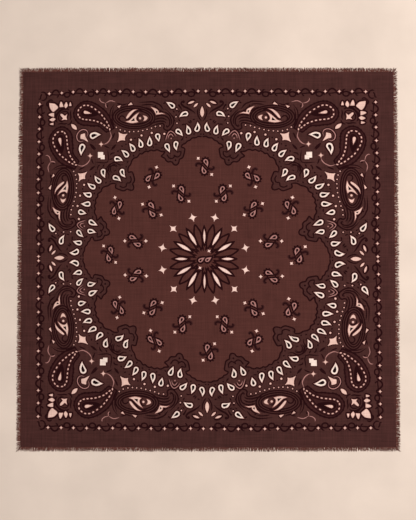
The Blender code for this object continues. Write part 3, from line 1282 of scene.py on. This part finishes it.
def insideLoop(loop, x, y):
    # whether the loop winds round each of the points, given as two arrays
    winding = np.zeros(len(x), int)
    startX, startY = loop[-1]
    for endX, endY in loop:
        toLeft = (endX - startX) * (y - startY) - (x - startX) * (endY - startY)
        winding += (startY <= y) & (endY > y) & (toLeft > 0)
        winding -= (startY > y) & (endY <= y) & (toLeft < 0)
        startX, startY = endX, endY
    return winding != 0


def plateTriangles(loops):
    # a triangle belongs to the plate printed last of those whose outlines hold its middle
    points, triangles = cutTriangles(loops)
    places = np.array([point[:] for point in points])
    middles = places[np.array(triangles)].mean(axis=1)
    order = np.argsort(middles[:, 0])
    x, y = middles[order].T
    onTop = np.full(len(order), -1)
    for number, (plate, loop) in enumerate(loops):
        lowX, lowY = map(min, zip(*loop))
        highX, highY = map(max, zip(*loop))
        near = np.arange(np.searchsorted(x, lowX), np.searchsorted(x, highX))
        near = near[(y[near] > lowY) & (y[near] < highY)]
        onTop[near[insideLoop(loop, x[near], y[near])]] = number
    byPlate = {plate: [] for plate in plates}
    for index, number in zip(order.tolist(), onTop.tolist()):
        if number >= 0:
            byPlate[loops[number][0]].append(triangles[index])
    return points, byPlate


def platePiece(plate, flatPoints, triangles):
    # a thin closed film that lies on the cloth
    places = {}
    tops = []
    unders = []
    faces = []
    edges = set()
    for triangle in triangles:
        for index in triangle:
            if index not in places:
                places[index] = len(tops)
                x, y = layOnCloth(*flatPoints[index])
                top = clothTop(x, y)
                tops.append((x, y, top + inkFilm["lift"]))
                unders.append((x, y, top - inkFilm["sink"]))
        corners = [places[index] for index in triangle]
        faces.append(corners)
        edges.update(zip(corners, corners[1:] + corners[:1]))
    shift = len(tops)
    faces += [[index + shift for index in reversed(corners)] for corners in faces]
    for start, end in sorted(edges):
        if (end, start) not in edges:
            faces.append([end, start, start + shift, end + shift])
    piece = meshObject("print_" + plate, tops + unders, faces, inkMaterials[plates[plate]])
    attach(piece, "root")
    print("print:", plate, len(triangles), "triangles on top")
    return piece


inkMaterials = {ink: woolMaterial(ink + "Ink", dict(inkFilm, colour=inks[ink])) for ink in inks}
flatPoints, trianglesByPlate = plateTriangles(printedLoops())
printPieces = [platePiece(plate, flatPoints, trianglesByPlate[plate]) for plate in plates]


# The fringe: yarn ends that stand out of the woven edge

fringe = dict(
    length=0.012,
    pitch=0.00080,
    jitter=0.25,          # how far a yarn strays from its even place, as a share of the pitch
    rootInside=0.0020,    # a yarn starts this far inside the cloth's edge
    rings=(0, 0.36, 0.7, 1),   # its sections, as shares of its length
    rootWidth=0.00145,
    tipWidth=0.00070,
    taper=1.5,            # above 1 it keeps its width for longer
    flatness=0.8,         # half its height, as a share of half its width
    thickest=0.0003,      # and no more than this
    height=0.00065,       # middle of a yarn as it leaves the cloth
    tipHeight=0.00035,
    shortest=0.66,        # as a share of the longest
    stray=0.15,           # sideways lean, as a share of the length
    bend=0.10,            # and the most that it bows to either side
    cornerLean=math.radians(46),
    cornerReach=0.022,    # yarns this close to a corner splay out to it
    firstSeed=11,
    colour=(97, 60, 55),
    streaks=1.1,
    mottle=0.30,
    # how much shade is painted into the colour between the yarns
    paintedYarnShade=0.20,
    sheen=0.05,
)


def yarnEnd(points, faces, line, widths):
    # a four-sided tapering yarn along its line, with closed ends
    first = len(points)
    for index, (x, y, z) in enumerate(line):
        before, after = line[max(index - 1, 0)], line[min(index + 1, len(line) - 1)]
        runX, runY = after[0] - before[0], after[1] - before[1]
        length = math.hypot(runX, runY)
        half = widths[index] / 2
        sideX, sideY = -runY / length * half, runX / length * half
        thick = min(half * fringe["flatness"], fringe["thickest"])
        points.append((x + sideX, y + sideY, z))
        points.append((x, y, z + thick))
        points.append((x - sideX, y - sideY, z))
        points.append((x, y, z - thick))
    for ring in range(len(line) - 1):
        base = first + ring * 4
        for side in range(4):
            other = (side + 1) % 4
            faces.append((base + side, base + other, base + 4 + other, base + 4 + side))
    faces.append((first + 3, first + 2, first + 1, first))
    last = first + (len(line) - 1) * 4
    faces.append((last, last + 1, last + 2, last + 3))


def buildFringe(side, quarterTurns):
    # built for the right side, out along +X, then turned onto its own side
    dice = random.Random(fringe["firstSeed"] + quarterTurns)
    onEnd = quarterTurns % 2 == 1
    halfOut = (cloth["length"] if onEnd else cloth["width"]) / 2
    halfAlong = (cloth["width"] if onEnd else cloth["length"]) / 2
    turn = quarterTurns * math.pi / 2
    jitter = fringe["jitter"]
    points = []
    faces = []
    count = int(2 * halfAlong / fringe["pitch"])
    for number in range(count):
        along = -halfAlong + (number + 0.5 + dice.uniform(-jitter, jitter)) * 2 * halfAlong / count
        toCorner = halfAlong - abs(along)
        lean = dice.gauss(0, 1) * fringe["stray"]
        splay = fringe["cornerLean"] * max(1 - toCorner / fringe["cornerReach"], 0) ** 2
        lean += math.copysign(math.tan(splay), along)
        length = fringe["length"] * dice.uniform(fringe["shortest"], 1)
        bend = dice.uniform(-fringe["bend"], fringe["bend"]) * length
        edge = halfOut + edgeReach(side, along / halfAlong, along if quarterTurns in (0, 1) else -along)
        line = []
        widths = []
        for share in fringe["rings"]:
            out = -fringe["rootInside"] + (fringe["rootInside"] + length) * share
            x = edge + out
            # an S: it bows to one side, and its tip swings to the other
            y = along + lean * max(out, 0) + bend * math.sin(share * math.pi * 1.3)
            z = fringe["height"] + (fringe["tipHeight"] - fringe["height"]) * share
            line.append((x * math.cos(turn) - y * math.sin(turn), x * math.sin(turn) + y * math.cos(turn), z))
            narrowing = (fringe["tipWidth"] - fringe["rootWidth"]) * share ** fringe["taper"]
            widths.append(fringe["rootWidth"] + narrowing)
        yarnEnd(points, faces, line, widths)
    piece = meshObject("fringe_" + side + "_yarns", points, faces, fringeMaterial)
    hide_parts("fringe_" + side)
    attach(piece, "root")
    print("fringe:", side, count, "yarn ends")
    return piece


fringeMaterial = woolMaterial("fringeWool", fringe)
fringePieces = [buildFringe(side, quarterTurns) for quarterTurns, side in enumerate(edgeBow)]


# The floor, the light and the camera

floorLook = dict(
    reach=4.0,            # from its middle to each side
    colour=(228, 217, 209),
    mottle=0.30,
    cloudScale=6.0,
    roughness=0.9,
    specular=0.1,
)


def buildFloor():
    material = bpy.data.materials.new("paleFloor")
    material.use_nodes = True
    tree = material.node_tree
    shader = tree.nodes["Principled BSDF"]
    place = addNode(tree, "ShaderNodeTexCoord").outputs["Object"]
    cloud = stretchedNoise(tree, place, (1, 1, 1), floorLook["cloudScale"], 5)
    cloud = mathNode(tree, "MULTIPLY", cloud, floorLook["mottle"])
    shade = mathNode(tree, "ADD", cloud, 1 - floorLook["mottle"] / 2)
    tint = addNode(tree, "ShaderNodeVectorMath", operation="SCALE")
    tint.inputs[0].default_value = srgb(*floorLook["colour"])[:3]
    tree.links.new(shade, tint.inputs["Scale"])
    tree.links.new(tint.outputs[0], shader.inputs["Base Color"])
    shader.inputs["Roughness"].default_value = floorLook["roughness"]
    shader.inputs["Specular IOR Level"].default_value = floorLook["specular"]
    reach = floorLook["reach"]
    corners = [(-reach, -reach, 0), (reach, -reach, 0), (reach, reach, 0), (-reach, reach, 0)]
    return meshObject("floor", corners, [(0, 1, 2, 3)], material)


buildFloor()

lighting = dict(
    world=(255, 244, 234),
    worldStrength=0.68,
    softbox=(2.1, 0.45, 2.3),   # place, in metres
    softboxSize=1.6,
    softboxPower=52,
)


def buildLight():
    world = bpy.data.worlds.new("studio")
    world.use_nodes = True
    background = world.node_tree.nodes["Background"]
    background.inputs["Color"].default_value = srgb(*lighting["world"])
    background.inputs["Strength"].default_value = lighting["worldStrength"]
    bpy.context.scene.world = world
    light = bpy.data.lights.new("softbox", "AREA")
    light.size = lighting["softboxSize"]
    light.energy = lighting["softboxPower"]
    light.color = srgb(*lighting["world"])[:3]
    item = bpy.data.objects.new("softbox", light)
    item.location = lighting["softbox"]
    item.rotation_euler = Vector(lighting["softbox"]).to_track_quat("Z", "Y").to_euler()
    bpy.context.scene.collection.objects.link(item)


buildLight()

view = dict(place=(-0.0007, -0.155, 2.996), target=(-0.0007, -0.0054, 0.0), lens=78.0)


def buildCamera():
    camera = bpy.data.cameras.new("camera")
    camera.lens = view["lens"]
    camera.sensor_width = 36
    item = bpy.data.objects.new("camera", camera)
    item.location = view["place"]
    aim = Vector(view["target"]) - Vector(view["place"])
    item.rotation_euler = aim.to_track_quat("-Z", "Y").to_euler()
    bpy.context.scene.collection.objects.link(item)
    bpy.context.scene.camera = item


buildCamera()
bpy.context.scene.view_settings.view_transform = "Standard"
print("stage: floor, light and camera")
